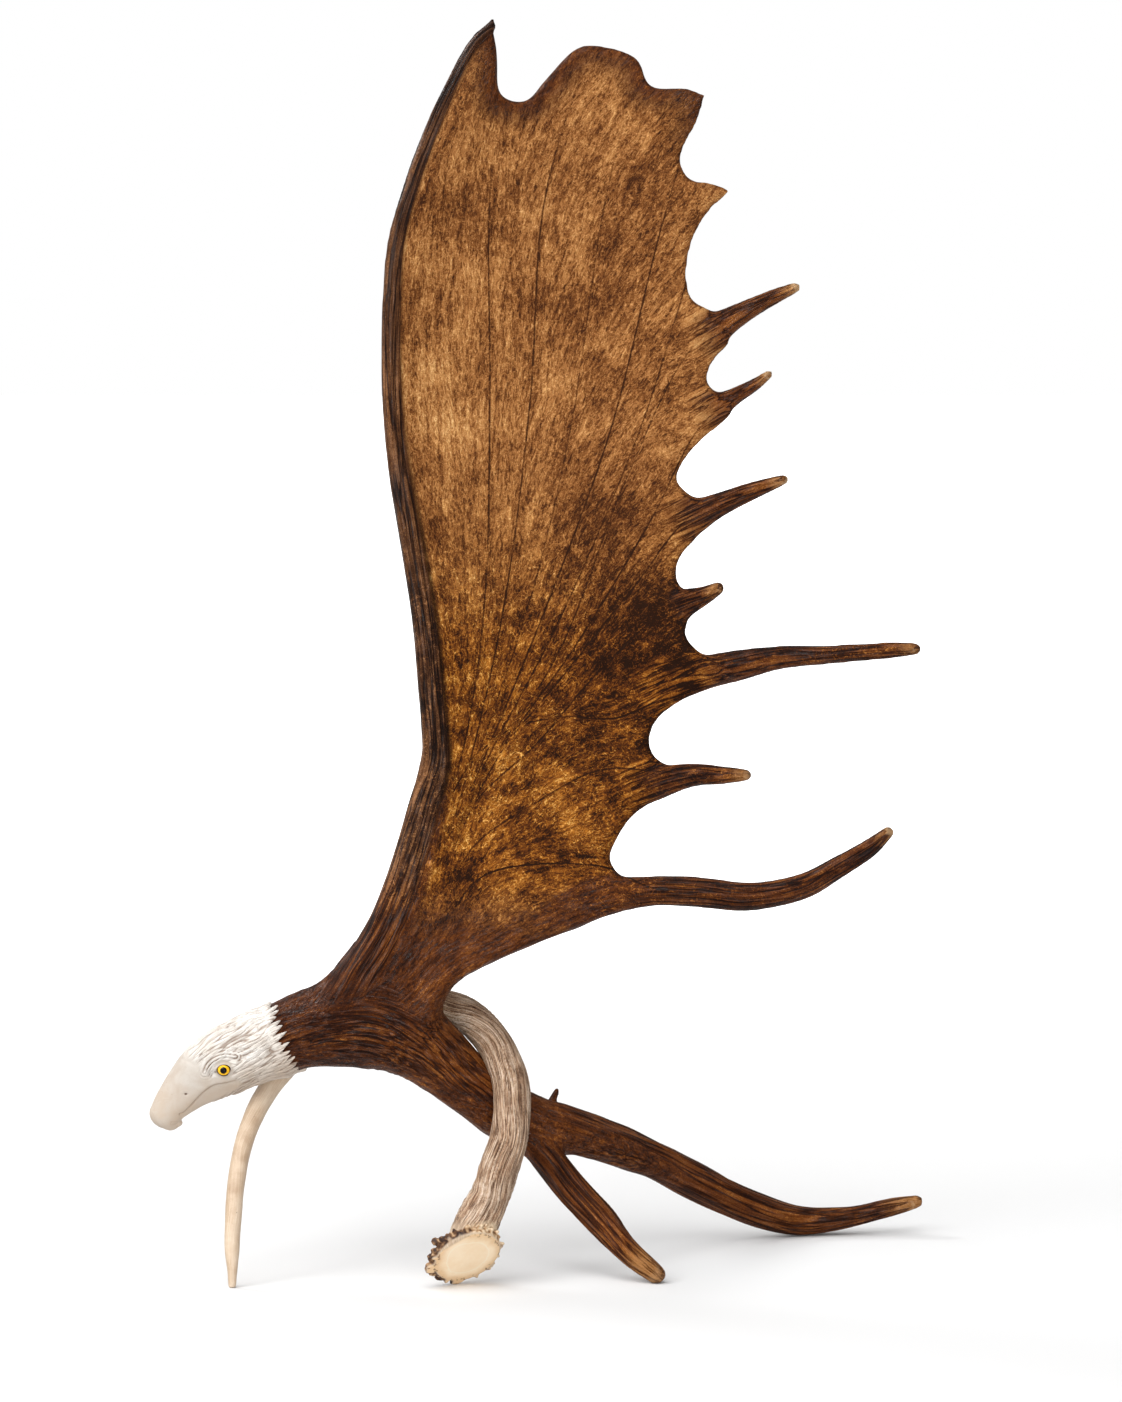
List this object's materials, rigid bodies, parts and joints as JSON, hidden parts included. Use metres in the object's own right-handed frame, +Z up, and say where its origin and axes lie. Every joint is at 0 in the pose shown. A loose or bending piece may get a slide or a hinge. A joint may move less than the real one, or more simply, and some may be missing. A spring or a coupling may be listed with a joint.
{
  "type": "moose antler",
  "caption": "Stained palmate moose antler propped by a pale deer antler, its burr end carved as an eagle's head with glass eyes.",
  "frame": {"origin": "centre of the bounding box on the surface that the antlers stand on", "axes": "+X from the carved beak towards the brow tines, +Y away from the hollow face of the palm, +Z up"},
  "size_m": [0.5961, 0.2268, 0.94],
  "materials": {
    "stained_antler": "waxed, dark brown stain over tan antler",
    "carved_ivory": "bleached and carved, satin",
    "pale_antler": "natural deer antler, satin",
    "eye_glass": "polished"
  },
  "bodies": {
    "root": {"neck_beam": "stained_antler", "palm": "stained_antler", "palm_tine_long": "stained_antler", "palm_tine_low": "stained_antler", "brow_beam": "stained_antler", "brow_tine_front": "stained_antler", "brow_tine_rear": "stained_antler", "eagle_head": "carved_ivory", "eye_left": "eye_glass", "eye_right": "eye_glass", "support_antler": "pale_antler"}
  },
  "joints": []
}
